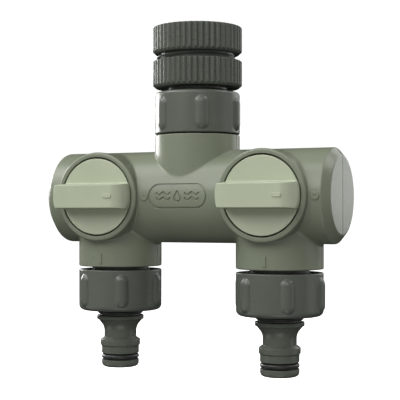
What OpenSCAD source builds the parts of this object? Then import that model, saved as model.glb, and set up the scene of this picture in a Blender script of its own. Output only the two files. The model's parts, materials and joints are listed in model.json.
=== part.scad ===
// Two way hose splitter with a quarter turn valve on each outlet.
// +Z points up the tap inlet, -Y is the front with the two knobs.
// The origin is the centre of the mouth that screws onto the tap.

/* [Body shell] */
// Distance between the two outlets, and between the two knobs
outlet_spacing = 71.4; // [70:0.2:80]
// Half length of the horizontal tube
tube_half_length = 61.6; // [61:0.2:70]
// Outer radius of the horizontal tube
tube_r = 18.8; // [18.6:0.1:19.6]
// Outer radius of the inlet neck
neck_r = 17.3; // [17:0.1:18]
// Height of the neck above the tube's axis
neck_top = 25; // [24.5:0.1:25.2]
// Outer radius of the two outlet legs
leg_r = 17.35; // [17:0.1:18]
// Depth of the legs below the tube's axis
leg_depth = 28.7; // [28:0.1:29.2]
// Wall thickness of the shell
wall = 2.2; // [1.8:0.1:2.4]

/* [Knobs] */
// Outer radius of the raised rim round each knob
rim_r = 18; // [17.8:0.1:18.4]
// Distance from the tube's axis to the front of the rim
rim_front = 20.8; // [20.4:0.1:21.6]
// Radius of the knob's disc
disc_r = 15.5; // [14.6:0.1:15.5]
// Distance from the tube's axis to the front of the knob's bar
bar_front = 28.3; // [26:0.1:30]
// Height of the knob's bar across the disc
bar_height = 9.3; // [8:0.1:11]

/* [Nuts and adapters] */
// Outer radius of the ribbed nuts
nut_r = 17.3; // [17:0.05:17.8]
// Height of the ribbed nuts
nut_height = 17; // [16.8:0.1:17.4]
// Height of the grip ribs above a nut's surface
rib_rise = 1.3; // [0.9:0.1:1.4]
// Number of grip ribs on a nut
rib_count = 6; // [4:2:8]
// Outer radius of the knurled adapter collars
collar_r = 18.25; // [18:0.05:18.6]
// Number of grooves round an adapter collar
groove_count = 48; // [36:1:60]
// Height of a knurled collar
collar_height = 10.9; // [10.4:0.1:10.9]

/* [Hose plugs] */
// Radius of the plug that a hose coupling slides over
plug_r = 7.8; // [7.7:0.05:7.85]
// Radius of the water bore in the plug
plug_bore_r = 4.8; // [4:0.1:5.2]

/* [Hidden] */
$fn = 64;
tiny = 0.01;

// Colours
shell_green = "#7d8672";
knob_green = "#a9b397";
dark_green = "#565b50";
rubber_black = "#1d1d1d";
seal_grey = "#4a4a4a";
ball_white = "#d8d8d0";

// Heights above the tube's axis, up the inlet stack
mouth_height = 69;
valve_x = outlet_spacing / 2;
nut_gap = 0.4;
nut_bottom = neck_top + nut_gap;
nut_top = nut_bottom + nut_height;
large_collar_bottom = 44.3;
large_male_bottom = 33.3;
small_collar_top = mouth_height;
small_collar_bottom = small_collar_top - collar_height;
small_male_bottom = 48.4;
tap_washer_bottom = 56.4;
washer_height = 2.2;
socket_floor = 1.6;
adapter_bore_r = 7.5;

// Pipe threads: outer radius, root radius and pitch
g34_r = 13.22;
g34_root = 12.06;
g34_pitch = 1.814;
g1_r = 16.62;
g1_root = 15.15;
g1_pitch = 2.309;
g12_r = 10.48;
nut_bore_r = 13.55;
large_socket_r = 16.86;

// Shell details
end_chamfer = 2.8;
end_disc_r = 15.45;
inner_gap = 0.3;
pocket_r = disc_r + 0.5;
pocket_floor_front = 16.2;
pocket_floor_back = 14.4;
hub_r = 8.6;
hub_hole_r = 9;
peg_r = 1.5;
peg_length = 3;
peg_boss_r = 2.8;
mark_rise = 0.3;
ring_mark = [20.9, -0.45];
bar_mark_bottom = -27.4;
bar_mark_height = 4.3;
inner_peg = [18.5, 12.8];
outer_peg = [55.5, 9.5];
rib_places = [-14.5, 12.5];
shell_rib_width = 2;
plate_length = 25.3;
plate_height = 9.7;

// Manifold details
pipe_r = 9;
pipe_bore_r = 6.5;
pipe_end = 52;
chamber_r = 13.2;
chamber_bore_r = 10.2;
chamber_front = 13;
chamber_back = 8.7;
inlet_pipe_r = 10;
inlet_bore_r = 7;
flange_r = 11.8;
flange_bottom = 28.5;
flange_top = 30.9;
spigot_r = 11.8;
spigot_bore_r = 6;
spigot_thread_top = 31.5;
spigot_end = 40.2;
seat_pocket_r = 7.6;
seat_pocket_depth = 12.5;

// Valve details
ball_r = 8;
port_r = 4.5;
stem_r = 4;
stem_front = 14.3;
trunnion_end = 10.2;
trunnion_r = 3;
running_gap = 0.06;
square_side = 5.6;
square_end = 21.5;
stop_lug_radius = 12.3;
stop_lug_r = 1.2;

// Outlet details, as depths below the tube's axis
outlet_nut_top = 30.1;
outlet_nut_bottom = outlet_nut_top + nut_height;
outer_floor_top = 44.7;
inlet_nut_floor = 2.9;
rib_length = 13.4;
rib_width = 5;
crisp_edge = 0.4;
soft_edge = 2.2;
plug_flange_r = 12.5;
plug_flange_top = 42.5;
plug_flange_bottom = 44.4;
plug_shoulder_r = 9.82;
plug_end = 71;
plug_ring_depth = 66.6;
plug_groove_r = 6;
plug_ring_section_r = 0.95;

module from_axis() {
    // Moves a shape drawn about the tube's axis into the part's frame
    translate([0, 0, -mouth_height]) children();
}

module along_x() {
    rotate([0, 90, 0]) children();
}

module along_front(y_front) {
    // Turns +Z into +Y, starting at the given distance in front of the axis
    translate([0, -y_front, 0]) rotate([-90, 0, 0]) children();
}

module ring(outer_r, inner_r, height) {
    difference() {
        cylinder(r = outer_r, h = height);
        translate([0, 0, -1]) cylinder(r = inner_r, h = height + 2);
    }
}

module torus(ring_r, section_r) {
    rotate_extrude() translate([ring_r, 0]) circle(r = section_r, $fn = 24);
}

// ---- shell ------------------------------------------------------------

module tube_solid(r, half_length, chamfer, disc_r) {
    along_x() rotate_extrude() polygon([
        [0, -half_length], [disc_r, -half_length], [r, -half_length + chamfer],
        [r, half_length - chamfer], [disc_r, half_length], [0, half_length]]);
}

module shell_outside() {
    tube_solid(tube_r, tube_half_length, end_chamfer, end_disc_r);
    cylinder(r = neck_r, h = neck_top);
    for (x = [-valve_x, valve_x]) {
        translate([x, 0, -leg_depth]) cylinder(r = leg_r, h = leg_depth);
        translate([x, 0, 0]) along_front(rim_front) cylinder(r = rim_r, h = rim_front);
    }
}

module shell_inside() {
    tube_solid(tube_r - wall, tube_half_length - wall, end_chamfer, end_disc_r - wall / 2);
    cylinder(r = neck_r - wall, h = neck_top - wall);
    cylinder(r = inlet_pipe_r + inner_gap, h = neck_top + 1);
    for (x = [-valve_x, valve_x]) translate([x, 0, 0]) {
        translate([0, 0, wall - leg_depth]) cylinder(r = leg_r - wall, h = leg_depth);
        translate([0, 0, -leg_depth - 1]) cylinder(r = spigot_r + inner_gap, h = leg_depth);
        along_front(pocket_floor_back) cylinder(r = pocket_r, h = pocket_floor_back);
        along_front(rim_front + 1) cylinder(r = pocket_r, h = rim_front + 1 - pocket_floor_front);
        along_front(rim_front) cylinder(r = hub_hole_r, h = rim_front);
        stop_slot();
    }
}

module stop_slot() {
    // Quarter circle slot in the pocket's floor that stops the knob after 90 degrees
    half_width = stop_lug_r + 0.4;
    along_front(rim_front) intersection() {
        ring(stop_lug_radius + half_width, stop_lug_radius - half_width, rim_front);
        translate([-half_width, -rim_front, -1])
            cube([rim_front, rim_front + half_width, rim_front + 2]);
    }
}

module peg_places() {
    for (side = [-1, 1], level = [-1, 1]) {
        for (place = [inner_peg, outer_peg])
            translate([side * place.x, 0, level * place.y]) children();
    }
}

module inner_ribs() {
    // Saddles that hold the manifold's pipe inside the tube
    intersection() {
        tube_solid(tube_r - wall / 2, tube_half_length - wall / 2, end_chamfer, end_disc_r);
        difference() {
            for (x = rib_places) translate([x, -tube_r, -tube_r])
                cube([shell_rib_width, 2 * tube_r, 2 * tube_r]);
            along_x() cylinder(r = pipe_r + 0.15, h = 2 * tube_r, center = true);
        }
    }
}

module peg_bosses() {
    intersection() {
        tube_solid(tube_r - wall / 2, tube_half_length - wall / 2, end_chamfer, end_disc_r);
        peg_places() rotate([90, 0, 0]) cylinder(r = peg_boss_r, h = 2 * tube_r, center = true);
    }
}

module shell_body() {
    difference() {
        shell_outside();
        shell_inside();
    }
    inner_ribs();
    peg_bosses();
}

module half_space(side) {
    // side -1 is the front half, side 1 the rear half
    big = 200;
    translate([-big / 2, side < 0 ? -big : 0, -big / 2]) cube([big, big, big]);
}

module stadium(length, height) {
    half_straight = (length - height) / 2;
    square([2 * half_straight, height], center = true);
    for (x = [-half_straight, half_straight]) translate([x, 0]) circle(d = height);
}

module plate_groove() {
    // Narrow groove in the front of the tube, round an empty plate
    line_width = 0.7;
    difference() {
        rotate([90, 0, 0]) linear_extrude(height = 2 * tube_r) difference() {
            stadium(plate_length, plate_height);
            stadium(plate_length - 2 * line_width, plate_height - 2 * line_width);
        }
        along_x() cylinder(r = tube_r - mark_rise, h = 2 * plate_length, center = true);
    }
}

module front_marks() {
    // Raised ring beside each knob for closed, and a raised bar on each leg for open
    intersection() {
        difference() {
            tube_solid(tube_r + mark_rise, tube_half_length - end_chamfer, 1, tube_r);
            tube_solid(tube_r - wall / 2, tube_half_length, 1, tube_r - wall / 2);
        }
        rotate([90, 0, 0]) linear_extrude(height = 2 * tube_r)
            for (x = [-valve_x, valve_x]) translate([x, 0] + ring_mark) difference() {
                circle(r = 1.4, $fn = 32);
                circle(r = 0.6, $fn = 24);
            }
    }
    for (x = [-valve_x, valve_x]) translate([x, 0, bar_mark_bottom]) intersection() {
        ring(leg_r + mark_rise, leg_r - wall / 2, bar_mark_height);
        translate([-0.8, -leg_r - 1, 0]) cube([1.6, leg_r, bar_mark_height]);
    }
}

module front_shell() {
    color(shell_green) from_axis() {
        difference() {
            intersection() {
                shell_body();
                half_space(-1);
            }
            peg_places() rotate([90, 0, 0])
                translate([0, 0, -1]) cylinder(r = peg_r + 0.1, h = peg_length + 1.3);
            plate_groove();
        }
        front_marks();
    }
}

module rear_shell() {
    color(shell_green) from_axis() {
        intersection() {
            shell_body();
            half_space(1);
        }
        peg_places() rotate([90, 0, 0]) translate([0, 0, -2]) cylinder(r = peg_r, h = peg_length + 2);
    }
}

// ---- manifold ---------------------------------------------------------

module male_thread(crest_r, root_r, pitch, length) {
    // Level ridges of the thread's depth and pitch, so that nothing binds
    turns = floor(length / pitch);
    cylinder(r = root_r, h = length);
    for (turn = [0 : turns - 1]) translate([0, 0, turn * pitch]) rotate_extrude() polygon([
        [root_r - 1, 0.1 * pitch], [root_r, 0.1 * pitch], [crest_r, 0.42 * pitch],
        [crest_r, 0.58 * pitch], [root_r, 0.9 * pitch], [root_r - 1, 0.9 * pitch]]);
}

module chamber_outside() {
    // Valve chamber along Y, narrowed at the back to clear the round tube
    along_front(chamber_front) rotate_extrude() polygon([
        [0, 0], [chamber_r, 0], [chamber_r, chamber_front + 7.5],
        [10.5, chamber_front + 11], [0, chamber_front + 11]]);
}

module inner_manifold() {
    color(dark_green) from_axis() difference() {
        union() {
            along_x() cylinder(r = pipe_r, h = 2 * pipe_end, center = true);
            cylinder(r = inlet_pipe_r, h = flange_bottom + tiny);
            translate([0, 0, flange_bottom]) cylinder(r = flange_r, h = flange_top - flange_bottom);
            for (x = [-valve_x, valve_x]) translate([x, 0, 0]) {
                chamber_outside();
                translate([0, 0, -spigot_thread_top - tiny])
                    cylinder(r = spigot_r, h = spigot_thread_top);
                translate([0, 0, -spigot_end])
                    male_thread(g34_r, g34_root, g34_pitch, spigot_end - spigot_thread_top);
            }
        }
        translate([-pipe_end + 2.5, 0, 0]) along_x() cylinder(r = pipe_bore_r, h = 2 * pipe_end);
        cylinder(r = inlet_bore_r, h = flange_top + 1);
        for (x = [-valve_x, valve_x]) translate([x, 0, 0]) {
            along_front(chamber_front + 1)
                cylinder(r = chamber_bore_r, h = chamber_front + 1 + chamber_back);
            along_front(0) cylinder(r = trunnion_r + running_gap, h = trunnion_end + 0.2);
            translate([0, 0, -seat_pocket_depth]) cylinder(r = seat_pocket_r, h = seat_pocket_depth);
            translate([0, 0, -spigot_end - 1]) cylinder(r = spigot_bore_r, h = spigot_end + 1);
        }
    }
}

module manifold_end_plug() {
    color(dark_green) from_axis() translate([pipe_end, 0, 0]) along_x() {
        translate([0, 0, -3]) cylinder(r = pipe_bore_r - 0.05, h = 3 + tiny);
        cylinder(r = pipe_bore_r + 0.6, h = 1.2);
    }
}

module inlet_washer() {
    color(seal_grey) from_axis() translate([0, 0, flange_top])
        ring(flange_r + 0.8, inlet_bore_r + 0.5, washer_height);
}

// ---- valves -----------------------------------------------------------

module seat_ring(x) {
    color(seal_grey) from_axis() translate([x, 0, 0]) difference() {
        translate([0, 0, -seat_pocket_depth]) cylinder(r = seat_pocket_r - 0.1, h = 6.9);
        translate([0, 0, -seat_pocket_depth - 1]) cylinder(r = 5, h = 10);
        sphere(r = ball_r + 0.15);
    }
}

module bonnet(x) {
    // Cap that closes the front of the valve chamber round the stem
    hole_r = stem_r + running_gap;
    body_r = chamber_bore_r - 0.1;
    lid_r = chamber_r - 0.6;
    lid = 1.2;
    color(dark_green) from_axis() translate([x, 0, 0]) along_front(chamber_front + lid)
        rotate_extrude() polygon([
            [hole_r, 0], [lid_r, 0], [lid_r, lid], [body_r, lid], [body_r, 2.2], [8.5, 2.2],
            [8.5, 4.2], [body_r, 4.2], [body_r, 5.4], [hole_r, 5.4]]);
}

module bonnet_oring(x) {
    color(rubber_black) from_axis() translate([x, 0, 0]) along_front(chamber_front - 2)
        torus(9.34, 0.8);
}

module ball_stem(x) {
    color(ball_white) from_axis() translate([x, 0, 0]) difference() {
        union() {
            sphere(r = ball_r);
            along_front(stem_front) rotate_extrude() polygon([
                [0, 0], [stem_r, 0], [stem_r, 1.3], [2.9, 1.3], [2.9, 2.5], [stem_r, 2.5],
                [stem_r, 3.5], [2.9, 3.5], [2.9, 4.7], [stem_r, 4.7], [stem_r, stem_front],
                [0, stem_front]]);
            along_front(square_end) translate([-square_side / 2, -square_side / 2, 0])
                cube([square_side, square_side, square_end - stem_front + 0.8]);
            along_front(0) cylinder(r = trunnion_r, h = trunnion_end);
        }
        along_x() cylinder(r = port_r, h = 3 * ball_r, center = true);
    }
}

module stem_orings(x) {
    color(rubber_black) from_axis() translate([x, 0, 0]) {
        for (depth = [1.9, 4.1]) along_front(stem_front - depth) torus(3.45, 0.54);
    }
}

module knob_bar() {
    // Grip bar right across the disc: sloping long sides, and a well rounded end by the marker
    half_top = bar_height / 2;
    half_foot = half_top + 0.6;
    bar_end = disc_r + 0.3;
    nose_r = 5.3;
    intersection() {
        rotate([0, 90, 0]) translate([0, 0, -bar_end]) linear_extrude(height = 2 * bar_end)
            polygon([[half_foot, -rim_front + 1], [half_foot, -rim_front], [half_top, -bar_front + 0.4],
                     [half_top - 0.4, -bar_front], [0.4 - half_top, -bar_front],
                     [-half_top, -bar_front + 0.4], [-half_foot, -rim_front],
                     [-half_foot, -rim_front + 1]]);
        along_front(bar_front) cylinder(r = bar_end, h = bar_front - rim_front + 1);
        translate([0, 0, -half_foot - 1]) linear_extrude(height = 2 * half_foot + 2) union() {
            translate([-bar_end, -bar_front])
                square([2 * bar_end - nose_r, bar_front - rim_front + 1]);
            translate([-bar_end, -bar_front + nose_r])
                square([2 * bar_end, bar_front - rim_front - nose_r + 1]);
            translate([bar_end - nose_r, -bar_front + nose_r]) circle(r = nose_r);
        }
    }
}

module knob(x) {
    color(knob_green) from_axis() translate([x, 0, 0]) difference() {
        union() {
            along_front(rim_front) cylinder(r = disc_r, h = rim_front - pocket_floor_front - 0.5);
            along_front(rim_front) cylinder(r = hub_r, h = rim_front - pocket_floor_back - 0.1);
            knob_bar();
            translate([6.9, -bar_front - mark_rise, -0.8]) cube([4, 1, 1.8]);
            translate([0, 0, stop_lug_radius]) along_front(rim_front)
                cylinder(r = stop_lug_r, h = rim_front - pocket_floor_back - 0.6);
        }
        along_front(square_end + 0.5) translate([-2.86, -2.86, 0]) cube([5.72, 5.72, square_end]);
        for (side = [-1, 1]) translate([side * 11 - 1.8, -bar_front + 2, -2.6])
            cube([3.6, bar_front - 2, 5.2]);
    }
}

// ---- nuts and adapters ------------------------------------------------

module nut_ribs(low) {
    high = low + rib_length;
    crest_r = nut_r + rib_rise;
    intersection() {
        rotate_extrude() polygon([
            [nut_bore_r + 1, low], [nut_r - 0.1, low], [crest_r - 0.3, low + 0.8], [crest_r, low + 1.4],
            [crest_r, high - 1.4], [crest_r - 0.3, high - 0.8], [nut_r - 0.1, high],
            [nut_bore_r + 1, high]]);
        for (turn = [0 : rib_count / 2 - 1]) rotate([0, 0, turn * 360 / rib_count])
            translate([-2 * nut_r, -rib_width / 2, 0]) cube([4 * nut_r, rib_width, nut_height]);
    }
}

module ribbed_nut(hole_r, floor_height, rib_bottom, low_edge, high_edge) {
    // Open at the top, with a holed floor at z = 0 that carries the captive flange
    difference() {
        union() {
            rotate_extrude() polygon([
                [0, 0], [nut_r - low_edge, 0], [nut_r - 0.27 * low_edge, 0.34 * low_edge],
                [nut_r, low_edge], [nut_r, nut_height - high_edge],
                [nut_r - 0.27 * high_edge, nut_height - 0.34 * high_edge],
                [nut_r - high_edge, nut_height], [0, nut_height]]);
            nut_ribs(rib_bottom);
        }
        translate([0, 0, floor_height]) cylinder(r = nut_bore_r, h = nut_height);
        translate([0, 0, -1]) cylinder(r = hole_r, h = nut_height);
    }
}

module inlet_nut() {
    color(dark_green) from_axis() translate([0, 0, nut_bottom])
        ribbed_nut(inlet_pipe_r + running_gap, inlet_nut_floor, 1.1, crisp_edge, soft_edge);
}

module grooved_collar(height) {
    // Collar with shallow rounded grooves all round and a small chamfer at each end
    groove_depth = 0.45;
    steps = 6 * groove_count;
    intersection() {
        linear_extrude(height = height) polygon([for (step = [0 : steps - 1])
            let (angle = 360 * step / steps,
                 r = collar_r - groove_depth / 2 * (1 - cos(groove_count * angle)))
            [r * cos(angle), r * sin(angle)]]);
        rotate_extrude() polygon([
            [0, 0], [collar_r - 0.7, 0], [collar_r + 0.1, 0.8], [collar_r + 0.1, height - 0.8],
            [collar_r - 0.7, height], [0, height]]);
    }
}

module large_adapter() {
    color(dark_green) from_axis() difference() {
        union() {
            translate([0, 0, large_male_bottom]) male_thread(g34_r, g34_root, g34_pitch, 9.1);
            translate([0, 0, nut_top - 1])
                cylinder(r = g34_root, h = large_collar_bottom - nut_top + 1 + tiny);
            translate([0, 0, large_collar_bottom]) grooved_collar(collar_height);
        }
        translate([0, 0, large_male_bottom - 1]) cylinder(r = 8, h = 2 * collar_height);
        translate([0, 0, large_collar_bottom + socket_floor])
            cylinder(r = large_socket_r, h = collar_height);
    }
}

module reducer_washer() {
    color(seal_grey) from_axis() translate([0, 0, large_collar_bottom + socket_floor + 0.1])
        ring(large_socket_r - 0.56, 9, washer_height);
}

module small_adapter() {
    undercut_height = washer_height + 0.3;
    color(dark_green) from_axis() difference() {
        union() {
            translate([0, 0, small_male_bottom]) male_thread(g1_r, g1_root, g1_pitch, 9.3);
            translate([0, 0, small_male_bottom])
                cylinder(r = g1_root, h = small_collar_bottom - small_male_bottom + tiny);
            translate([0, 0, small_collar_bottom]) grooved_collar(collar_height);
        }
        translate([0, 0, small_male_bottom - 1]) cylinder(r = adapter_bore_r, h = 2 * collar_height);
        translate([0, 0, tap_washer_bottom]) cylinder(r = g12_r + 0.5, h = undercut_height);
        translate([0, 0, tap_washer_bottom]) cylinder(r = g12_r, h = 2 * collar_height);
    }
}

module tap_washer() {
    color(rubber_black) from_axis() translate([0, 0, tap_washer_bottom + 0.1])
        ring(g12_r + 0.22, 6.2, washer_height);
}

// ---- outlets ----------------------------------------------------------

module outlet_nut(x) {
    color(dark_green) from_axis() translate([x, 0, -outlet_nut_bottom])
        ribbed_nut(plug_shoulder_r + 0.08, outlet_nut_bottom - outer_floor_top, 1.8, soft_edge, crisp_edge);
}

module plug(x) {
    // Captive flange, shaft through the nut, collar, latch ring, seal groove and tip
    groove_top = plug_ring_depth - 1.4;
    groove_bottom = plug_ring_depth + 1.4;
    color(dark_green) from_axis() translate([x, 0, 0]) rotate_extrude() polygon([
        [plug_bore_r, -plug_flange_top], [plug_flange_r, -plug_flange_top],
        [plug_flange_r, -plug_flange_bottom], [plug_shoulder_r, -plug_flange_bottom],
        [plug_shoulder_r, -47.9], [8.8, -48.1], [8.8, -49.3], [9.4, -49.4], [9.8, -49.8],
        [9.8, -50.9], [9.4, -51.5], [8.9, -51.95], [8.4, -52.35], [8, -52.8], [7.6, -53.6],
        [7.1, -54.8], [6.9, -55.3], [6.75, -55.8], [6.75, -58.5], [7.3, -58.9], [8.3, -59.6],
        [8.3, -61.2], [8, -62], [plug_r, -62.4], [plug_r, -groove_top],
        [plug_groove_r, -groove_top], [plug_groove_r, -groove_bottom], [plug_r, -groove_bottom],
        [plug_r, 1.8 - plug_end], [7.5, 0.8 - plug_end], [6.9, 0.3 - plug_end], [6, -plug_end],
        [plug_bore_r, -plug_end]]);
}

module plug_oring(x) {
    color(rubber_black) from_axis() translate([x, 0, -plug_ring_depth])
        torus(plug_groove_r + plug_ring_section_r, plug_ring_section_r);
}

module outlet_washer(x) {
    color(seal_grey) from_axis() translate([x, 0, 0.1 - plug_flange_top])
        ring(plug_flange_r - 0.1, 6.5, washer_height - 0.1);
}

front_shell();
rear_shell();
inner_manifold();
manifold_end_plug();
inlet_washer();
seat_ring(-valve_x);  // left_seat_ring
seat_ring(valve_x);  // right_seat_ring
bonnet(-valve_x);  // left_bonnet
bonnet(valve_x);  // right_bonnet
bonnet_oring(-valve_x);  // left_bonnet_oring
bonnet_oring(valve_x);  // right_bonnet_oring
knob(-valve_x);  // left_knob
knob(valve_x);  // right_knob
ball_stem(-valve_x);  // left_ball_stem
ball_stem(valve_x);  // right_ball_stem
stem_orings(-valve_x);  // left_stem_orings
stem_orings(valve_x);  // right_stem_orings
inlet_nut();
large_adapter();
reducer_washer();
small_adapter();
tap_washer();
plug(-valve_x);  // left_plug
plug(valve_x);  // right_plug
plug_oring(-valve_x);  // left_plug_oring
plug_oring(valve_x);  // right_plug_oring
outlet_washer(-valve_x);  // left_outlet_washer
outlet_washer(valve_x);  // right_outlet_washer
outlet_nut(-valve_x);  // left_outlet_nut
outlet_nut(valve_x);  // right_outlet_nut
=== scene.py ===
"""Hose splitter: smooth moulded shells, knobs, ribbed nuts, knurled adapters and hose plugs.

Shapes are drawn in millimetres about the crossing of the tube's axis and the inlet's axis,
with +Z up the inlet and -Y towards the knobs, and are moved into the row frame at the end.
A size named FRONT, FLOOR or BACK is a distance in front of that crossing: y = -RIM_FRONT.
"""
import json
import math

import bpy
import numpy as np
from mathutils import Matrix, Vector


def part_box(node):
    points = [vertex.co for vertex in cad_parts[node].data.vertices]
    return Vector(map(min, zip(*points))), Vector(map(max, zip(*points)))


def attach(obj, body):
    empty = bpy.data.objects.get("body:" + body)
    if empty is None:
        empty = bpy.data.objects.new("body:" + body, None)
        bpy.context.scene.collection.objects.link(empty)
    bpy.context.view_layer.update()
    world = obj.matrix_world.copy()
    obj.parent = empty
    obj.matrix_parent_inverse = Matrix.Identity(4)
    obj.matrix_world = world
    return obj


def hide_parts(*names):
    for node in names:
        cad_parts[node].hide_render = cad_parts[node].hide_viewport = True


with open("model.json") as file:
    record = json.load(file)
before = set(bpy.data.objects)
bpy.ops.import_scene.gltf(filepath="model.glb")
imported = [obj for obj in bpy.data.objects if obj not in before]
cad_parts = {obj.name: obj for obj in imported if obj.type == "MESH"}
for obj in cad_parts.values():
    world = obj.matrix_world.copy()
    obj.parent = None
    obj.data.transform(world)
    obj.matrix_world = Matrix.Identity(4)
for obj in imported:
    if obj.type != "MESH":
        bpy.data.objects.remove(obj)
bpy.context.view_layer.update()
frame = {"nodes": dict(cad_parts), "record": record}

MM = 0.001


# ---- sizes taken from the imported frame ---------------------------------


def box_mm(node):
    low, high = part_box(node)
    return np.array(low) / MM, np.array(high) / MM


knob_low, knob_high = box_mm("right_knob")
VALVE_X = (knob_low[0] + knob_high[0]) / 2
AXIS_Z = (knob_low[2] + knob_high[2]) / 2
DISC_R = (knob_high[2] - knob_low[2]) / 2
BAR_END = (knob_high[0] - knob_low[0]) / 2
CAD_MARKER_RISE = 0.3
BAR_FRONT = -knob_low[1] - CAD_MARKER_RISE
KNOB_BACK = -knob_high[1]

shell_low, shell_high = box_mm("front_shell")
TUBE_HALF = shell_high[0]
RIM_FRONT = -shell_low[1]
LEG_DEPTH = AXIS_Z - shell_low[2]
NECK_TOP = shell_high[2] - AXIS_Z
TUBE_R = box_mm("rear_shell")[1][1]

inlet_low, inlet_high = box_mm("inlet_nut")
INLET_NUT_BOTTOM = inlet_low[2] - AXIS_Z
NUT_HEIGHT = inlet_high[2] - inlet_low[2]
RIB_RISE = 1.3
NUT_R = inlet_high[0] - RIB_RISE
OUTLET_NUT_TOP = box_mm("right_outlet_nut")[1][2] - AXIS_Z
OUTLET_NUT_BOTTOM = OUTLET_NUT_TOP - NUT_HEIGHT

large_low, large_high = box_mm("large_adapter")
small_low, small_high = box_mm("small_adapter")
COLLAR_R = large_high[0]
LARGE_MALE_BOTTOM = large_low[2] - AXIS_Z
LARGE_COLLAR_TOP = large_high[2] - AXIS_Z
SMALL_MALE_BOTTOM = small_low[2] - AXIS_Z
SMALL_COLLAR_TOP = small_high[2] - AXIS_Z

PLUG_END = box_mm("right_plug")[0][2] - AXIS_Z
PLUG_FLANGE_TOP = box_mm("right_plug")[1][2] - AXIS_Z
seal_low, seal_high = box_mm("right_plug_oring")
SEAL_SECTION_R = (seal_high[2] - seal_low[2]) / 2
SEAL_HEIGHT = (seal_high[2] + seal_low[2]) / 2 - AXIS_Z


# ---- sizes of the moulded shapes -----------------------------------------

WALL = 2.2
TUBE_CHAMFER = 2.8
END_FACE_R = 15.45
INNER_END_FACE_R = 14.3
NECK_R = 17.3
LEG_R = 17.35
RIM_R = 18.0
SEAM_HALF_GAP = 0.07
SEAM_EDGE = 0.28

POCKET_R = DISC_R + 0.5
POCKET_FLOOR = 16.2
POCKET_FLOOR_BACK = 14.4
HUB_R = 8.6
HUB_HOLE_R = 9.0
STOP_PATH_R = 12.3
STOP_LUG_R = 1.2
STOP_SLOT_HALF = 1.6
PIPE_HOLE_R = 10.3
SPIGOT_HOLE_R = 12.1
HOLE_START = 10

PEG_PLACES = ((18.5, 12.8), (55.5, 9.5))
PEG_R = 1.5
PEG_LENGTH = 3.0
PEG_SOCKET_R = 1.6
PEG_SOCKET_DEPTH = 3.3
PEG_POST_R = 2.8
WEB_X = 13.5
WEB_HALF = 1.0
WEB_BORE_R = 9.15

BAR_HALF = 4.65
BAR_DRAFT = 0.6
NOSE_X = 13.1
NOSE_SINE, NOSE_COSINE = 0.423, 0.906
STEM_SOCKET_HALF = 2.86
STEM_SOCKET_END = 22.0
CORE_X = 11
CORE_HALF_X, CORE_HALF_Z = 1.8, 2.6
BAR_SKIN = 2

PLATE_X = -0.25
PLATE_HALF = (12.4, 4.6)
PLATE_THICKNESS = 0.8
PLATE_SEAT_DEPTH = 0.45
GROOVE_DEPTH = 0.4
OUTLINE_HALF = 0.34
DROP_LINE_HALF = 0.24
WAVE_LINE_HALF = 0.26
WAVE_RISE = 0.5
WAVE_LENGTH = 3.6
MARK_RISE = 0.42
MARK_ROOT = 0.6
MARKER_RISE = 0.26

# Radii and pitch of the pipe threads.
G34 = {"outer": 13.22, "root": 12.06, "pitch": 1.814}
G1 = {"outer": 16.62, "root": 15.15, "pitch": 2.309}
G12 = {"outer": 10.48, "root": 9.32, "pitch": 1.814}

NUT_BORE_R = 13.7
NUT_RIBS = 6
RIB_HALF = 2.75
RIB_LENGTH = 13.4
COLLAR_HEIGHT = 10.9
FLUTES = 48
FLUTE_DEPTH = 0.75
PLUG_BORE_R = 4.8
PLUG_BODY_R = 7.8
PLUG_GROOVE_R = 6.0
PLUG_GROOVE_HALF = 1.4
PLUG_COLUMNS = 128
SHARP_DEGREES = 40


# ---- distance fields ----------------------------------------------------
# A field is negative inside a solid, zero on its surface and positive outside.


def joined(a, b, fillet):
    """Union of two fields with a concave fillet of that radius."""
    return np.maximum(fillet, np.minimum(a, b)) - np.hypot(
        np.maximum(fillet - a, 0), np.maximum(fillet - b, 0))


def common(a, b, edge):
    """Intersection of two fields with the shared edge rounded to that radius."""
    return np.minimum(-edge, np.maximum(a, b)) + np.hypot(
        np.maximum(edge + a, 0), np.maximum(edge + b, 0))


def rod(distance, radius, along, low, high, edge):
    """Cylinder from its distance to the axis and its place along it, with rounded ends."""
    out = distance - radius
    past = np.abs(along - (low + high) / 2) - (high - low) / 2
    return common(out, past, edge)


def chamfered_tube(x, around, radius, half_length, end_r):
    """Tube along X whose ends run in to a flat face of radius end_r."""
    edge = 0.3
    run = radius - end_r
    slope = math.hypot(run, TUBE_CHAMFER)
    past_chamfer = np.abs(x) - half_length + TUBE_CHAMFER
    cone = (run * past_chamfer + TUBE_CHAMFER * (around - radius)) / slope
    body = common(around - radius, cone, edge)
    return common(body, np.abs(x) - half_length, edge)


def shell_outside(x, y, z):
    from_valve = np.abs(x) - VALVE_X
    tube = chamfered_tube(x, np.hypot(y, z), TUBE_R, TUBE_HALF, END_FACE_R)
    neck = rod(np.hypot(x, y), NECK_R, z, 0, NECK_TOP - 0.15, edge=0.2)
    # The leg narrows inside the tube, or its top would show at the tube's back.
    narrowing = 0.05 * np.maximum(z + 5.3, 0) ** 2
    leg = rod(np.hypot(from_valve, y) + narrowing, LEG_R, z, -LEG_DEPTH, 0, edge=0.6)
    rim = rod(np.hypot(from_valve, z), RIM_R, y, -RIM_FRONT, 0, edge=0.9)
    body = joined(tube, neck, fillet=0.35)
    body = joined(body, leg, fillet=1.0)
    return joined(body, rim, fillet=0.6)


def peg_distance(x, z):
    """Distance to the nearest peg's axis; the pegs lie alike in all four quarters."""
    side, level = np.abs(x), np.abs(z)
    return np.minimum(*(np.hypot(side - peg_x, level - peg_z) for peg_x, peg_z in PEG_PLACES))


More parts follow.
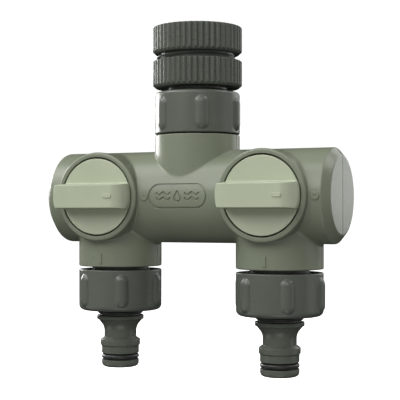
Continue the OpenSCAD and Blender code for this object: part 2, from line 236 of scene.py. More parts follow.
def shell_inside(x, y, z):
    """Cavity of the shell, without the pockets that show from outside."""
    edge = 0.3
    side = np.abs(x)
    from_valve = side - VALVE_X
    around_axis = np.hypot(y, z)
    tube = chamfered_tube(x, around_axis, TUBE_R - WALL, TUBE_HALF - WALL, INNER_END_FACE_R)
    neck = rod(np.hypot(x, y), NECK_R - WALL, z, 0, NECK_TOP - WALL, edge)
    leg = rod(np.hypot(from_valve, y), LEG_R - WALL, z, WALL - LEG_DEPTH, 0, edge)
    rim = rod(np.hypot(from_valve, z), POCKET_R, y, -POCKET_FLOOR_BACK, 0, edge)
    cavity = np.minimum(np.minimum(tube, neck), np.minimum(leg, rim))
    posts = peg_distance(x, z) - PEG_POST_R
    webs = np.maximum(np.abs(side - WEB_X) - WEB_HALF, WEB_BORE_R - around_axis)
    return np.maximum(cavity, -np.minimum(posts, webs))


def stop_slot(across, z):
    """Quarter circle slot in the pocket's floor, where the knob's stop lug travels."""
    band = np.abs(np.hypot(across, z) - STOP_PATH_R) - STOP_SLOT_HALF
    quadrant = np.maximum(-STOP_SLOT_HALF - across, -STOP_SLOT_HALF - z)
    return np.maximum(band, quadrant)


def shell_body(x, y, z):
    from_valve = np.abs(x) - VALVE_X
    around_valve = np.hypot(from_valve, z)
    across = np.where(x > 0, x - VALVE_X, x + VALVE_X)
    body = shell_outside(x, y, z)
    pocket = common(around_valve - POCKET_R, y + POCKET_FLOOR, edge=0.2)
    body = common(body, -pocket, edge=0.2)
    floor_holes = np.minimum(around_valve - HUB_HOLE_R, stop_slot(across, z))
    floor_holes = np.maximum(floor_holes, y + POCKET_FLOOR_BACK - 1)
    pipe_hole = np.maximum(np.hypot(x, y) - PIPE_HOLE_R, HOLE_START - z)
    spigot_hole = np.maximum(np.hypot(from_valve, y) - SPIGOT_HOLE_R, z + HOLE_START)
    holes = np.minimum(floor_holes, np.minimum(pipe_hole, spigot_hole))
    body = common(body, -holes, edge=0.25)
    body = np.maximum(body, -plate_seat(x, y, z))
    return np.maximum(body, -shell_inside(x, y, z))


def front_shell(x, y, z):
    half = common(shell_body(x, y, z), y + SEAM_HALF_GAP, SEAM_EDGE)
    sockets = np.maximum(peg_distance(x, z) - PEG_SOCKET_R, -PEG_SOCKET_DEPTH - y)
    return np.maximum(half, -sockets)


def rear_shell(x, y, z):
    half = common(shell_body(x, y, z), SEAM_HALF_GAP - y, SEAM_EDGE)
    pegs = rod(peg_distance(x, z), PEG_R, y, -PEG_LENGTH, 2.0, edge=0.3)
    return np.minimum(half, pegs)


def knob(x, y, z):
    """Disc with a grip bar right across it, a hub behind it and a stop lug."""
    around = np.hypot(x, z)
    front = -BAR_FRONT - y
    draft = BAR_DRAFT / (BAR_FRONT - RIM_FRONT)
    flank = (np.abs(z) - BAR_HALF - draft * (y + BAR_FRONT)) / math.hypot(1, draft)
    bar = common(flank, front, edge=0.35)
    slant = NOSE_SINE * front + NOSE_COSINE * (x - NOSE_X)
    nose = common(common(slant, front, edge=3.3), x - BAR_END, edge=0.5)
    bar = common(bar, nose, edge=0.3)
    bar = common(bar, around - BAR_END, edge=0.4)
    bar = np.maximum(bar, y + RIM_FRONT - 0.3)
    disc = rod(around, DISC_R - 0.1, y, -RIM_FRONT, -POCKET_FLOOR - 0.5, edge=0.25)
    hub = rod(around, HUB_R, y, -RIM_FRONT, -KNOB_BACK, edge=0.2)
    from_lug = np.hypot(x, z - STOP_PATH_R)
    lug = rod(from_lug, STOP_LUG_R, y, -RIM_FRONT, -KNOB_BACK - 0.5, edge=0.2)
    body = joined(disc, bar, fillet=0.35)
    body = np.minimum(body, np.minimum(hub, lug))
    square = np.maximum(np.abs(x), np.abs(z)) - STEM_SOCKET_HALF
    socket = np.maximum(square, -STEM_SOCKET_END - y)
    pocket = np.maximum(np.abs(np.abs(x) - CORE_X) - CORE_HALF_X, np.abs(z) - CORE_HALF_Z)
    cores = np.maximum(pocket, BAR_SKIN - BAR_FRONT - y)
    return np.maximum(body, -np.minimum(socket, cores))


# ---- marks on the front of the shell -------------------------------------


def stadium(u, v, margin):
    """The plate's outline, that much larger all round."""
    half_length, half_height = PLATE_HALF[0] + margin, PLATE_HALF[1] + margin
    return np.hypot(np.maximum(np.abs(u) - half_length + half_height, 0), v) - half_height


def plate_seat(x, y, z):
    """Shallow recess under the plate, hidden by it."""
    outline = stadium(x - PLATE_X, z, margin=0.8)
    return np.maximum(np.maximum(outline, TUBE_R - PLATE_SEAT_DEPTH - np.hypot(y, z)), y)


def drop(u, v, size):
    """Round drop of that radius with its point up."""
    tip_r, height = 0.12 * size, 1.9 * size
    lean = (size - tip_r) / height
    rise = math.sqrt(1 - lean * lean)
    u = np.abs(u)
    along = v * rise - u * lean
    bulb = np.hypot(u, v) - size
    tip = np.hypot(u, v - height) - tip_r
    flank = u * rise + v * lean - size
    return np.where(along < 0, bulb, np.where(along > rise * height, tip, flank))


def wave(u, v, half_length):
    turn = 2 * math.pi / WAVE_LENGTH
    slope = WAVE_RISE * turn * np.sin(turn * u)
    off = (v - WAVE_RISE * np.cos(turn * u)) / np.sqrt(1 + slope ** 2)
    return np.hypot(off, np.maximum(np.abs(u) - half_length, 0)) - WAVE_LINE_HALF


def water_mark(u, v):
    """The outline of a plain drop between short waves."""
    mark = np.abs(drop(u, v + 0.7, size=1.35)) - DROP_LINE_HALF
    for side in (-1, 1):
        for level in (-1.0, 1.0):
            mark = np.minimum(mark, wave(u - side * 6.2, v - level, half_length=2.9))
    return mark


def plate(x, y, z):
    """Skin of the tube's front with an outline and a water mark cut into it."""
    around = np.hypot(y, z)
    u = x - PLATE_X
    skin = common(stadium(u, z, margin=1.7), around - TUBE_R - 0.02, edge=0.02)
    skin = np.maximum(skin, TUBE_R - PLATE_THICKNESS - around)
    outline = np.abs(stadium(u, z, margin=0)) - OUTLINE_HALF
    lines = np.minimum(outline, water_mark(u, z))
    return common(skin, -np.maximum(lines, TUBE_R - GROOVE_DEPTH - around), edge=0.08)


def raised(flat, around, wall_r):
    """A flat outline raised from a round wall of that radius, with softened edges."""
    top = around - wall_r - MARK_RISE
    return np.maximum(common(flat, top, edge=0.14), wall_r - MARK_ROOT - around)


def closed_mark(x, y, z):
    """Low dimpled disc beside the rim, where the knob's marker points when closed."""
    around = np.hypot(y, z)
    from_centre = np.hypot(x - 20.8, z + 0.15)
    dimple = np.maximum(from_centre - 0.5, TUBE_R + 0.24 - around)
    return common(raised(from_centre - 1.65, around, TUBE_R), -dimple, edge=0.1)


def open_mark(x, y, z):
    """Upright bar on the leg, where the knob's marker points when open."""
    bar = np.hypot(np.maximum(np.abs(x) - 0.4, 0), np.maximum(np.abs(z + 25.2) - 1.7, 0)) - 0.4
    return raised(bar, np.hypot(x, y), LEG_R)


def knob_marker(x, y, z):
    slab = np.hypot(np.maximum(np.abs(x - 8.9) - 1.15, 0), z - 0.1) - 0.85
    return np.maximum(common(slab, -BAR_FRONT - MARKER_RISE - y, edge=0.18), y + BAR_FRONT - 0.5)


# ---- meshes --------------------------------------------------------------


def steps(low, high, step, fine=()):
    """Grid lines from low to high, closer together in the (low, high, step) bands of fine."""
    lines = [low]
    while lines[-1] < high:
        here = lines[-1]
        size = min([step] + [band[2] for band in fine if band[0] <= here < band[1]])
        ahead = [band[0] - here for band in fine if here < band[0] < here + size]
        lines.append(here + min([size] + ahead))
    return np.array(lines)


def slope_of(field, points, reach=0.01):
    sides = []
    for axis in range(3):
        shift = np.zeros(3)
        shift[axis] = reach
        sides.append((field(*(points + shift).T) - field(*(points - shift).T)) / (2 * reach))
    return np.stack(sides, axis=1)


def field_mesh(field, xs, ys, zs):
    """Closed quad mesh of a field's surface: its points and its faces.

    Each grid cell that the surface crosses gets one point, which is then moved onto the surface.
    """
    lines = (xs, ys, zs)
    values = field(xs[:, None, None], ys[None, :, None], zs[None, None, :])
    inside = values < 0
    cells_shape = tuple(len(line) - 1 for line in lines)
    crossings, cells, flips = [], [], []
    for axis in range(3):
        others = [n for n in range(3) if n != axis]
        solid = np.moveaxis(inside, axis, 0)
        value = np.moveaxis(values, axis, 0)
        i, j, k = np.nonzero(solid[:-1] != solid[1:])
        share = value[i, j, k] / (value[i, j, k] - value[i + 1, j, k])
        place = np.empty((len(i), 3))
        place[:, axis] = lines[axis][i] + share * (lines[axis][i + 1] - lines[axis][i])
        place[:, others[0]] = lines[others[0]][j]
        place[:, others[1]] = lines[others[1]][k]
        around = np.empty((len(i), 4), np.int64)
        for corner, (dj, dk) in enumerate(((1, 1), (0, 1), (0, 0), (1, 0))):
            index = [None, None, None]
            index[axis], index[others[0]], index[others[1]] = i, j - dj, k - dk
            around[:, corner] = np.ravel_multi_index(index, cells_shape)
        crossings.append(place)
        cells.append(around)
        flips.append(solid[i, j, k] == (axis == 1))
    crossings = np.concatenate(crossings)
    cells = np.concatenate(cells)
    flips = np.concatenate(flips)
    used, faces = np.unique(cells, return_inverse=True)
    faces = faces.reshape(cells.shape)
    count = np.bincount(faces.ravel())
    points = np.stack([np.bincount(faces.ravel(), np.repeat(crossings[:, n], 4)) / count
                       for n in range(3)], axis=1)
    faces[flips] = faces[flips][:, ::-1]
    longest_step = 0.25
    for _ in range(4):
        slope = slope_of(field, points)
        step = field(*points.T) / np.maximum((slope ** 2).sum(1), 0.2)
        points -= np.clip(step, -longest_step, longest_step)[:, None] * slope
    return points, faces


def rounded(corners, per_arc):
    """Closed outline through (radius, height, fillet, step) corners, each fillet drawn as an arc.

    The straight stretch after a corner is cut into pieces of about step, where step is given.
    """
    def unit(vector):
        return vector / np.linalg.norm(vector)

    places = [np.array(corner[:2], float) for corner in corners]
    arcs = []
    for n, corner in enumerate(corners):
        here, fillet = places[n], corner[2]
        to_last = unit(places[n - 1] - here)
        to_next = unit(places[(n + 1) % len(places)] - here)
        half = math.acos(np.clip(to_last @ to_next, -1, 1)) / 2
        nearly_straight = half > 1.55
        if fillet == 0 or nearly_straight:
            arcs.append([here])
            continue
        centre = here + unit(to_last + to_next) * fillet / math.sin(half)
        first = here + to_last * fillet / math.tan(half) - centre
        last = here + to_next * fillet / math.tan(half) - centre
        turn = math.atan2(first[0] * last[1] - first[1] * last[0], first @ last)
        bend = np.linspace(0, turn, per_arc + 1)
        arcs.append([centre + [first[0] * math.cos(a) - first[1] * math.sin(a),
                               first[0] * math.sin(a) + first[1] * math.cos(a)] for a in bend])
    outline = []
    for n, arc in enumerate(arcs):
        outline.extend(arc)
        step = corners[n][3] if len(corners[n]) > 3 else 0
        start, end = arc[-1], arcs[(n + 1) % len(arcs)][0]
        pieces = max(1, math.ceil(np.linalg.norm(end - start) / step)) if step else 1
        outline.extend(start + (end - start) * m / pieces for m in range(1, pieces))
    return np.array(outline)


def even_turn(columns):
    return np.arange(columns) * 2 * math.pi / columns


def turned_mesh(outline, angles, relief=None):
    """Closed outline swung round Z; relief(angle, radius, height) is added to the radius."""
    r, z = outline[:, 0, None], outline[:, 1, None]
    following = np.roll(outline, -1, axis=0)
    area = (outline[:, 0] * following[:, 1] - following[:, 0] * outline[:, 1]).sum()
    angle = angles[None, :]
    radius = r + (relief(angle, r, z) if relief else 0 * angle)
    points = np.stack([radius * np.cos(angle), radius * np.sin(angle), z + 0 * angle], axis=2)
    rows = len(outline)
    index = np.arange(rows * len(angles)).reshape(rows, -1)
    right = np.roll(index, -1, axis=1)
    quads = np.stack([index, right, np.roll(right, -1, axis=0), np.roll(index, -1, axis=0)],
                     axis=2)
    quads = quads.reshape(-1, 4)
    return points.reshape(-1, 3), quads if area > 0 else quads[:, ::-1]


def ring_mesh(centre_r, height, section_r):
    """Ring of round section."""
    turn = even_turn(24)
    section = np.stack([centre_r + section_r * np.cos(turn), height + section_r * np.sin(turn)],
                       axis=1)
    return turned_mesh(section, even_turn(PLUG_COLUMNS))


def new_piece(name, mesh_data, material, body, centre=(0, 0, 0), stands_for=(), field=None):
    """Adds a mesh in the row frame, with its material, its body and the CAD nodes it replaces.

    A mesh of a field is shaded by the field's slopes, and any other one by its angles.
    """
    points, faces = mesh_data
    mesh = bpy.data.meshes.new(name)
    placed = (points + np.array(centre) + [0, 0, AXIS_Z]) * MM
    mesh.from_pydata(placed.tolist(), [], faces.tolist())
    mesh.shade_smooth()
    if field is None:
        mesh.set_sharp_from_angle(angle=math.radians(SHARP_DEGREES))
    else:
        normals = slope_of(field, points)
        normals /= np.linalg.norm(normals, axis=1)[:, None]
        mesh.normals_split_custom_set_from_vertices(normals.tolist())
    mesh.materials.append(material)
    piece = bpy.data.objects.new(name, mesh)
    bpy.context.scene.collection.objects.link(piece)
    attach(piece, body)
    if stands_for:
        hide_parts(*stands_for)


# ---- materials ------------------------------------------------------------


class Nodes:
    """A material's node tree, built a node at a time."""

    def __init__(self, name):
        self.material = bpy.data.materials.new(name)
        self.material.use_nodes = True
        self.tree = self.material.node_tree
        self.shader = self.tree.nodes["Principled BSDF"]
        self.place = self.add("ShaderNodeTexCoord").outputs["Object"]

    def add(self, kind, **settings):
        node = self.tree.nodes.new(kind)
        for key, value in settings.items():
            setattr(node, key, value)
        return node

    def link(self, output, target):
        self.tree.links.new(output, target)

    def noise(self, scale, detail=2.0, roughness=0.5):
        node = self.add("ShaderNodeTexNoise")
        node.inputs["Scale"].default_value = scale
        node.inputs["Detail"].default_value = detail
        node.inputs["Roughness"].default_value = roughness
        self.link(self.place, node.inputs["Vector"])
        return node.outputs["Fac"]

    def spread(self, value, low, high, from_low=0.3, from_high=0.7):
        node = self.add("ShaderNodeMapRange")
        node.inputs["From Min"].default_value = from_low
        node.inputs["From Max"].default_value = from_high
        node.inputs["To Min"].default_value = low
        node.inputs["To Max"].default_value = high
        self.link(value, node.inputs["Value"])
        return node.outputs["Result"]

    def mixed(self, factor, first, second):
        node = self.add("ShaderNodeMix", data_type="RGBA")
        node.inputs["A"].default_value = (*first, 1)
        node.inputs["B"].default_value = (*second, 1)
        self.link(factor, node.inputs["Factor"])
        return node.outputs["Result"]

    def bump(self, height, distance, strength, after=None):
        node = self.add("ShaderNodeBump")
        node.inputs["Strength"].default_value = strength
        node.inputs["Distance"].default_value = distance
        self.link(height, node.inputs["Height"])
        if after is not None:
            self.link(after, node.inputs["Normal"])
        return node.outputs["Normal"]


def linear(colour):
    """sRGB values from 0 to 255 as scene linear values."""
    return tuple(((c / 255 + 0.055) / 1.055) ** 2.4 for c in colour)


def moulded_plastic(name, colour, rough, spark, flow=0.05):
    """Fine spark-eroded grain, faint flow marks in the colour and uneven gloss."""
    nodes = Nodes(name)
    base = np.array(linear(colour))
    tone = nodes.spread(nodes.noise(scale=60, detail=4), 0, 1)
    nodes.link(nodes.mixed(tone, base * (1 - flow), base * (1 + flow)),
               nodes.shader.inputs["Base Color"])
    uneven = nodes.noise(scale=900, detail=3, roughness=0.6)
    nodes.link(nodes.spread(uneven, rough - 0.05, rough + 0.05), nodes.shader.inputs["Roughness"])
    pits = nodes.noise(scale=5200, detail=3, roughness=0.65)
    grain = nodes.bump(pits, distance=0.00004, strength=spark)
    swell = nodes.noise(scale=140, detail=1)
    waviness = nodes.bump(swell, distance=0.0003, strength=0.06, after=grain)
    nodes.link(waviness, nodes.shader.inputs["Normal"])
    return nodes.material


def rubber(name, colour, rough):
    """Moulded rubber: matt, faintly dusty and finely pitted."""
    nodes = Nodes(name)
    base = np.array(linear(colour))
    specks = nodes.noise(scale=700, detail=5, roughness=0.7)
    dust = nodes.spread(specks, 0, 1, from_low=0.45, from_high=0.75)
    nodes.link(nodes.mixed(dust, base, base * 1.5 + 0.004), nodes.shader.inputs["Base Color"])
    uneven = nodes.noise(scale=1500, detail=3)
    nodes.link(nodes.spread(uneven, rough - 0.08, rough + 0.08), nodes.shader.inputs["Roughness"])
    pits = nodes.noise(scale=3800, detail=4, roughness=0.7)
    nodes.link(nodes.bump(pits, distance=0.00005, strength=0.3), nodes.shader.inputs["Normal"])
    return nodes.material


SHELL = moulded_plastic("shell_plastic", (127, 134, 115), rough=0.32, spark=0.16)
KNOB = moulded_plastic("knob_plastic", (182, 190, 165), rough=0.36, spark=0.16)
NUT = moulded_plastic("nut_plastic", (92, 97, 88), rough=0.32, spark=0.10)
COLLAR = moulded_plastic("collar_plastic", (85, 89, 80), rough=0.30, spark=0.08)
FITTING = moulded_plastic("fitting_plastic", (91, 95, 85), rough=0.30, spark=0.08)
ACETAL = moulded_plastic("acetal", (216, 216, 206), rough=0.30, spark=0.06, flow=0.02)
ORING = rubber("oring_rubber", (38, 38, 37), rough=0.42)
WASHER = rubber("washer_rubber", (66, 67, 66), rough=0.62)
MATERIALS = {"shell": SHELL, "knob": KNOB, "nut": NUT, "collar": COLLAR, "fitting": FITTING,
             "ball": ACETAL, "oring": ORING, "washer": WASHER}


# ---- camera, light and floor ------------------------------------------------

CAMERA_TURN = 24.364
CAMERA_TILT = 90.764
CAMERA_X, CAMERA_Y = 0.1830, -0.40155
CAMERA_BELOW_AXIS = 0.0072
LAMP_DISTANCE = 1.0
LAMPS = (
    # name, degrees right of the camera, degrees up, width, height, power
    ("key_high_left", -90, 40, 0.5, 0.5, 4.4),
    ("key_band", -90, 62, 0.4, 0.25, 0.8),
    ("key_left", -45, 30, 0.5, 0.5, 3.0),
    ("key_top_left", -45, 60, 0.5, 0.5, 1.5),
    ("front_fill", 0, 32, 0.5, 0.5, 1.8),
    ("low_front", 0, -52, 0.6, 0.6, 1.1),
    ("right_high", 90, 46, 0.4, 0.4, 2.3),
    ("right_side", 85, 0, 0.5, 0.5, 0.5),
    ("right_rim", 130, 17, 0.7, 0.7, 2.6),
    ("left_rim", -138, 12, 0.45, 0.28, 5.0),
    ("left_low", -90, -30, 0.5, 0.5, 0.7),
)
GLOW = 0.31
WHITE = 1.05
FLOOR_HALF = 30
FLOOR_DROP = 0.06


def add_camera():
    """Long lens from the front right at the height of the tube, as in a catalogue view."""
    lens = bpy.data.cameras.new("camera")
    lens.lens = 97.1
    lens.sensor_width = 36
    lens.clip_start = 0.01
    camera = bpy.data.objects.new("camera", lens)
    camera.location = (CAMERA_X, CAMERA_Y, AXIS_Z * MM - CAMERA_BELOW_AXIS)
    camera.rotation_euler = (math.radians(CAMERA_TILT), 0, math.radians(CAMERA_TURN))
    bpy.context.scene.collection.objects.link(camera)
    bpy.context.scene.camera = camera


def add_lamp(name, right, up, width, height, power):
    """Softbox aimed at the tube, from that many degrees right of the camera and up."""
    light = bpy.data.lights.new(name, "AREA")
    light.shape = "RECTANGLE"
    light.size = width
    light.size_y = height
    light.energy = power
    lamp = bpy.data.objects.new(name, light)
    turn, rise = math.radians(CAMERA_TURN + right), math.radians(up)
    level = math.cos(rise)
    out = Vector((math.sin(turn) * level, -math.cos(turn) * level, math.sin(rise)))
    lamp.location = Vector((0, 0, AXIS_Z * MM)) + out * LAMP_DISTANCE
    lamp.rotation_euler = (-out).to_track_quat("-Z", "Y").to_euler()
    bpy.context.scene.collection.objects.link(lamp)


def add_surroundings():
    """White to look at, but lights the splitter only with a glow that fades out behind it."""
    world = bpy.data.worlds.new("studio")
    bpy.context.scene.world = world
    world.use_nodes = True
    tree = world.node_tree
    turn = math.radians(CAMERA_TURN)
    place = tree.nodes.new("ShaderNodeTexCoord")
    facing = tree.nodes.new("ShaderNodeVectorMath")
    facing.operation = "DOT_PRODUCT"
    facing.inputs[1].default_value = (math.sin(turn), -math.cos(turn), 0)
    glow = tree.nodes.new("ShaderNodeMapRange")
    glow.inputs["From Min"].default_value = -1
    glow.inputs["To Max"].default_value = GLOW
    white = tree.nodes.new("ShaderNodeBackground")
    white.inputs["Color"].default_value = (1, 1, 1, 1)
    white.inputs["Strength"].default_value = WHITE
    seen = tree.nodes.new("ShaderNodeLightPath")
    choice = tree.nodes.new("ShaderNodeMixShader")
    dim = tree.nodes["Background"]
    tree.links.new(place.outputs["Generated"], facing.inputs[0])
    tree.links.new(facing.outputs["Value"], glow.inputs["Value"])
    tree.links.new(glow.outputs["Result"], dim.inputs["Color"])
    tree.links.new(seen.outputs["Is Camera Ray"], choice.inputs["Fac"])
    tree.links.new(dim.outputs["Background"], choice.inputs[1])
    tree.links.new(white.outputs["Background"], choice.inputs[2])
    tree.links.new(choice.outputs["Shader"], tree.nodes["World Output"].inputs["Surface"])


def add_floor():
    """Pale floor well below the plugs, which throws no light back up at the splitter."""
    size = FLOOR_HALF
    mesh = bpy.data.meshes.new("floor")
    mesh.from_pydata([(-size, -size, 0), (size, -size, 0), (size, size, 0), (-size, size, 0)], [],
                     [(0, 1, 2, 3)])
    nodes = Nodes("floor_paint")
    patches = nodes.spread(nodes.noise(scale=3, detail=2), 0, 1)
    tint = nodes.mixed(patches, (0.90, 0.90, 0.90), (0.93, 0.93, 0.93))
    nodes.link(tint, nodes.shader.inputs["Base Color"])
    nodes.link(tint, nodes.shader.inputs["Emission Color"])
    nodes.shader.inputs["Emission Strength"].default_value = 1.1
    nodes.shader.inputs["Roughness"].default_value = 0.9
    mesh.materials.append(nodes.material)
    floor = bpy.data.objects.new("floor", mesh)
    floor.location = (0, 0, (AXIS_Z + PLUG_END) * MM - FLOOR_DROP)
    floor.visible_diffuse = False
    floor.visible_glossy = False
    bpy.context.scene.collection.objects.link(floor)


def add_studio():
    add_camera()
    add_surroundings()
    add_floor()
    for lamp in LAMPS:
        add_lamp(*lamp)
    bpy.context.scene.view_settings.view_transform = "Standard"


# ---- pieces -----------------------------------------------------------------

SIDES = (("left", -VALVE_X), ("right", VALVE_X))
SHELL_STEP = 0.45
SHELL_EDGE_STEP = 0.22
SHELL_END_STEP = 0.25
SEAM_STEP = 0.12
MARK_STEP = 0.16
KNOB_STEP = 0.35
MARKER_STEP = 0.12


def add_shells():
    margin = 0.6
    xs = steps(-TUBE_HALF - margin, TUBE_HALF + margin, SHELL_STEP,
               [(-TUBE_HALF - margin, -TUBE_HALF + 3.4, SHELL_EDGE_STEP),
                (TUBE_HALF - 3.4, TUBE_HALF + margin, SHELL_EDGE_STEP)])
    zs = steps(-LEG_DEPTH - 0.5, NECK_TOP + 0.5, SHELL_STEP,
               [(-LEG_DEPTH - 0.5, -LEG_DEPTH + 1.2, SHELL_END_STEP),
                (NECK_TOP - 0.9, NECK_TOP + 0.5, SHELL_END_STEP)])
    front_ys = steps(-RIM_FRONT - 0.4, 0.3, SHELL_STEP,
                     [(-RIM_FRONT - 0.4, -RIM_FRONT + 1.4, SHELL_EDGE_STEP),
                      (-0.5, 0.3, SEAM_STEP)])
    rear_ys = steps(-3.5, TUBE_R + margin, SHELL_STEP, [(-0.5, 0.5, SEAM_STEP)])
    for field, ys in ((front_shell, front_ys), (rear_shell, rear_ys)):
        name = field.__name__
        new_piece(name + "_moulding", field_mesh(field, xs, ys, zs), SHELL, "root",
                  stands_for=[name], field=field)


def add_marks():
    step = MARK_STEP
    front = steps(-TUBE_R - 0.6, -TUBE_R + 2.4, step)
    skin = field_mesh(plate, steps(-14.9, 14.3, step), front, steps(-6.8, 6.8, step))
    new_piece("front_plate", skin, SHELL, "root", field=plate)
    disc = field_mesh(closed_mark, steps(19.0, 22.8, step), front, steps(-2.4, 1.5, step))
    leg_front = steps(-LEG_R - 0.6, -LEG_R + 1.2, step)
    bar = field_mesh(open_mark, steps(-1.2, 1.2, step), leg_front, steps(-27.9, -22.7, step))
    for side, x in SIDES:
        place = (x, 0, 0)
        new_piece(side + "_closed_mark", disc, SHELL, "root", place, field=closed_mark)
        new_piece(side + "_open_mark", bar, SHELL, "root", place, field=open_mark)


def add_knobs():
    span = BAR_END + 0.5
    across = steps(-span, span, KNOB_STEP, [(10.0, span, 0.25)])
    depth = steps(-BAR_FRONT - 0.5, 0.5 - KNOB_BACK, KNOB_STEP,
                  [(-BAR_FRONT - 0.5, -BAR_FRONT + 0.8, 0.15),
                   (-RIM_FRONT - 0.5, -RIM_FRONT + 0.8, 0.15)])
    upright = steps(-span, span, KNOB_STEP, [(-5.6, -4.2, 0.2), (4.2, 5.6, 0.2)])
    body = field_mesh(knob, across, depth, upright)
    marker = field_mesh(knob_marker, steps(6.8, 11.6, MARKER_STEP),
                        steps(-BAR_FRONT - 0.6, -BAR_FRONT + 0.9, MARKER_STEP),
                        steps(-1.2, 1.4, MARKER_STEP))
    for side, x in SIDES:
        place = (x, 0, 0)
        new_piece(side + "_knob_grip", body, KNOB, side + "_valve", place,
                  [side + "_knob"], field=knob)
        new_piece(side + "_knob_marker", marker, KNOB, side + "_valve", place,
                  field=knob_marker)


def thread_wave(thread, angle, height):
    """1 on a crest and 0 in a root of a right hand thread."""
    return 0.5 + 0.5 * np.cos(2 * math.pi * (height / thread["pitch"] - angle / (2 * math.pi)))


def fade(height, low, high, run):
    """0 outside low and high, rising to 1 over that run inside them."""
    return np.clip((height - low) / run, 0, 1) * np.clip((high - height) / run, 0, 1)


def at_radius(radius, wanted):
    return np.abs(radius - wanted) < 0.01


def nut_mesh(floor_height, rib_low, floor_edge, mouth_edge, hole_r):
    """Ribbed nut with its holed floor at height 0 and its threaded mouth at the top."""
    centre, half_run = rib_low + RIB_LENGTH / 2, RIB_LENGTH / 2 - RIB_HALF
    outline = rounded([
        (hole_r, 0, 0.3), (NUT_R, 0, floor_edge, 0.25), (NUT_R, NUT_HEIGHT, mouth_edge),
        (NUT_BORE_R, NUT_HEIGHT, 0.4, 0.22), (NUT_BORE_R, floor_height, 0.3),
        (hole_r, floor_height, 0.2)], per_arc=8)
    spacing = 360 // NUT_RIBS
    edge, crest = np.arange(5, 11, 0.6), np.arange(-5, 5, 1.25)
    sector = np.concatenate([np.arange(-spacing // 2, -11, 3), -edge[::-1], crest, edge,
                             np.arange(11, spacing // 2, 3)])
    angles = np.radians(np.concatenate([sector + spacing * turn for turn in range(NUT_RIBS)]))

    def relief(angle, radius, height):
        outside = radius > NUT_R - 0.35
        between = 2 * math.pi / NUT_RIBS
        off = (angle + between / 2) % between - between / 2
        from_line = np.hypot(off * NUT_R, np.maximum(np.abs(height - centre) - half_run, 0))
        rib = RIB_RISE * (1 - np.clip(from_line / RIB_HALF, 0, 1) ** 2.2) ** 0.8
        bore = at_radius(radius, NUT_BORE_R) & (height > floor_height + 0.4)
        depth = G34["outer"] - G34["root"]
        groove = depth * thread_wave(G34, angle, height) * fade(height, 4.5, NUT_HEIGHT - 0.6, 1.2)
        return np.where(outside, rib, 0) - np.where(bore, groove, 0)

    return turned_mesh(outline, angles, relief)


def knurled(angle, radius):
    """Change of radius that cuts the flutes, which run out at the chamfers."""
    share = 0.5 - 0.5 * np.cos(FLUTES * angle)
    bottom = COLLAR_R - FLUTE_DEPTH * share ** 1.4
    return np.minimum(bottom - radius, 0)


def adapter_mesh(male, male_bottom, collar_bottom, female, female_bottom, floor, bore_r):
    """Adapter with a male thread below its knurled collar and a female thread inside it."""
    male_top = collar_bottom - 1.0
    collar_top = collar_bottom + COLLAR_HEIGHT
    neck_r = male["root"] - 0.1
    mouth_r = female["outer"] + 0.1
    relief_r = female["outer"] + 0.3
    lathe = rounded([
        (bore_r, male_bottom, 0.3), (male["outer"], male_bottom, 0.5, 0.2),
        (male["outer"], male_top, 0.0), (neck_r, male_top + 0.1, 0.0),
        (neck_r, collar_bottom, 0.2), (COLLAR_R - 1.2, collar_bottom, 0.15, 0.12),
        (COLLAR_R, collar_bottom + 1.1, 0.1, 0.8), (COLLAR_R, collar_top - 0.3, 0.1, 0.12),
        (COLLAR_R - 0.4, collar_top, 0.1), (female["outer"] + 0.5, collar_top, 0.1),
        (mouth_r, collar_top - 0.5, 0.1, 0.2), (mouth_r, female_bottom, 0.1),
        (relief_r, female_bottom - 0.2, 0.0), (relief_r, floor, 0.1),
        (bore_r, floor, 0.2)], per_arc=5)

    def relief(angle, radius, height):
        below = at_radius(radius, male["outer"]) & (height < male_top + 0.01)
        depth = male["outer"] - male["root"]
        tapered = fade(height, male_bottom - 0.5, np.inf, 1)
        root = depth * (1 - thread_wave(male, angle, height)) * tapered
        inside = at_radius(radius, mouth_r) & (height > collar_bottom)
        rise = female["outer"] - female["root"]
        threaded = fade(height, female_bottom, collar_top - 0.3, 1)
        crest = rise * thread_wave(female, angle, height) * threaded
        outside = (radius > COLLAR_R - 1.3) & (height > collar_bottom - 0.01)
        return (-np.where(below, root, 0) - np.where(inside, crest, 0)
                + np.where(outside, knurled(angle, radius), 0))

    return turned_mesh(lathe, even_turn(12 * FLUTES), relief)


def add_inlet_stack():
    nut = nut_mesh(floor_height=2.9, rib_low=1.1, floor_edge=0.5, mouth_edge=1.3, hole_r=10.06)
    new_piece("inlet_nut_moulding", nut, NUT, "inlet_nut", (0, 0, INLET_NUT_BOTTOM),
              ["inlet_nut"])
    large_bottom = LARGE_COLLAR_TOP - COLLAR_HEIGHT
    large = adapter_mesh(G34, LARGE_MALE_BOTTOM, large_bottom, G1,
                         female_bottom=large_bottom + 4.0, floor=large_bottom + 1.6, bore_r=8.0)
    new_piece("large_adapter_moulding", large, COLLAR, "large_adapter",
              stands_for=["large_adapter"])
    small_bottom = SMALL_COLLAR_TOP - COLLAR_HEIGHT
    small = adapter_mesh(G1, SMALL_MALE_BOTTOM, small_bottom, G12,
                         female_bottom=small_bottom + 0.8, floor=small_bottom - 1.7, bore_r=7.5)
    new_piece("small_adapter_moulding", small, COLLAR, "small_adapter",
              stands_for=["small_adapter"])


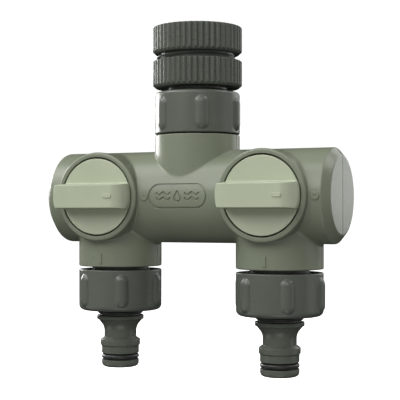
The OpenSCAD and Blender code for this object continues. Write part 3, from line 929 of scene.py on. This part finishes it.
def plug_outline():
    """Up from the tip: seal groove, latch ring, hollow neck, collar, shoulder and flange."""
    groove_top, groove_bottom = SEAL_HEIGHT + PLUG_GROOVE_HALF, SEAL_HEIGHT - PLUG_GROOVE_HALF
    return rounded([
        (PLUG_BORE_R, PLUG_FLANGE_TOP, 0.2), (PLUG_BORE_R, PLUG_END, 0.5),
        (PLUG_BODY_R, PLUG_END, 1.7), (PLUG_BODY_R, groove_bottom, 0.12),
        (PLUG_GROOVE_R, groove_bottom, 0.1), (PLUG_GROOVE_R, groove_top, 0.1),
        (PLUG_BODY_R, groove_top, 0.12), (PLUG_BODY_R, -62.4, 0.1),
        (8.3, -61.8, 0.15), (8.3, -59.6, 0.25), (7.3, -58.9, 0.15), (6.75, -58.7, 0.1),
        (6.75, -54.2, 5.0), (9.15, -51.3, 0.6), (9.8, -51.0, 0.2), (9.8, -49.5, 0.25),
        (8.6, -49.3, 0.1), (8.6, -47.0, 0.1), (9.82, -46.8, 0.15), (9.82, -44.4, 0.1),
        (12.5, -44.4, 0.2), (12.5, PLUG_FLANGE_TOP, 0.2)], per_arc=8)


def add_outlets():
    nut = nut_mesh(floor_height=2.4, rib_low=1.8, floor_edge=2.2, mouth_edge=0.4, hole_r=9.9)
    plug = turned_mesh(plug_outline(), even_turn(PLUG_COLUMNS))
    seal = ring_mesh(PLUG_GROOVE_R + SEAL_SECTION_R, SEAL_HEIGHT, SEAL_SECTION_R)
    dust_ring = ring_mesh(centre_r=8.75, height=-48.1, section_r=0.65)
    for side, x in SIDES:
        place = (x, 0, 0)
        new_piece(side + "_outlet_nut_moulding", nut, NUT, side + "_outlet_nut",
                  (x, 0, OUTLET_NUT_BOTTOM), [side + "_outlet_nut"])
        new_piece(side + "_hose_plug", plug, FITTING, side + "_plug", place,
                  [side + "_plug"])
        new_piece(side + "_plug_seal", seal, ORING, side + "_plug", place,
                  [side + "_plug_oring"])
        new_piece(side + "_dust_ring", dust_ring, ORING, side + "_plug", place)


def paint_cad_nodes():
    slots = {entry["node"]: entry["material_slot"] for entry in frame["record"]["subparts"]}
    for name, node in frame["nodes"].items():
        for material_slot in node.material_slots:
            material_slot.material = MATERIALS[slots[name]]


add_studio()
add_shells()
add_marks()
add_knobs()
add_inlet_stack()
add_outlets()
paint_cad_nodes()
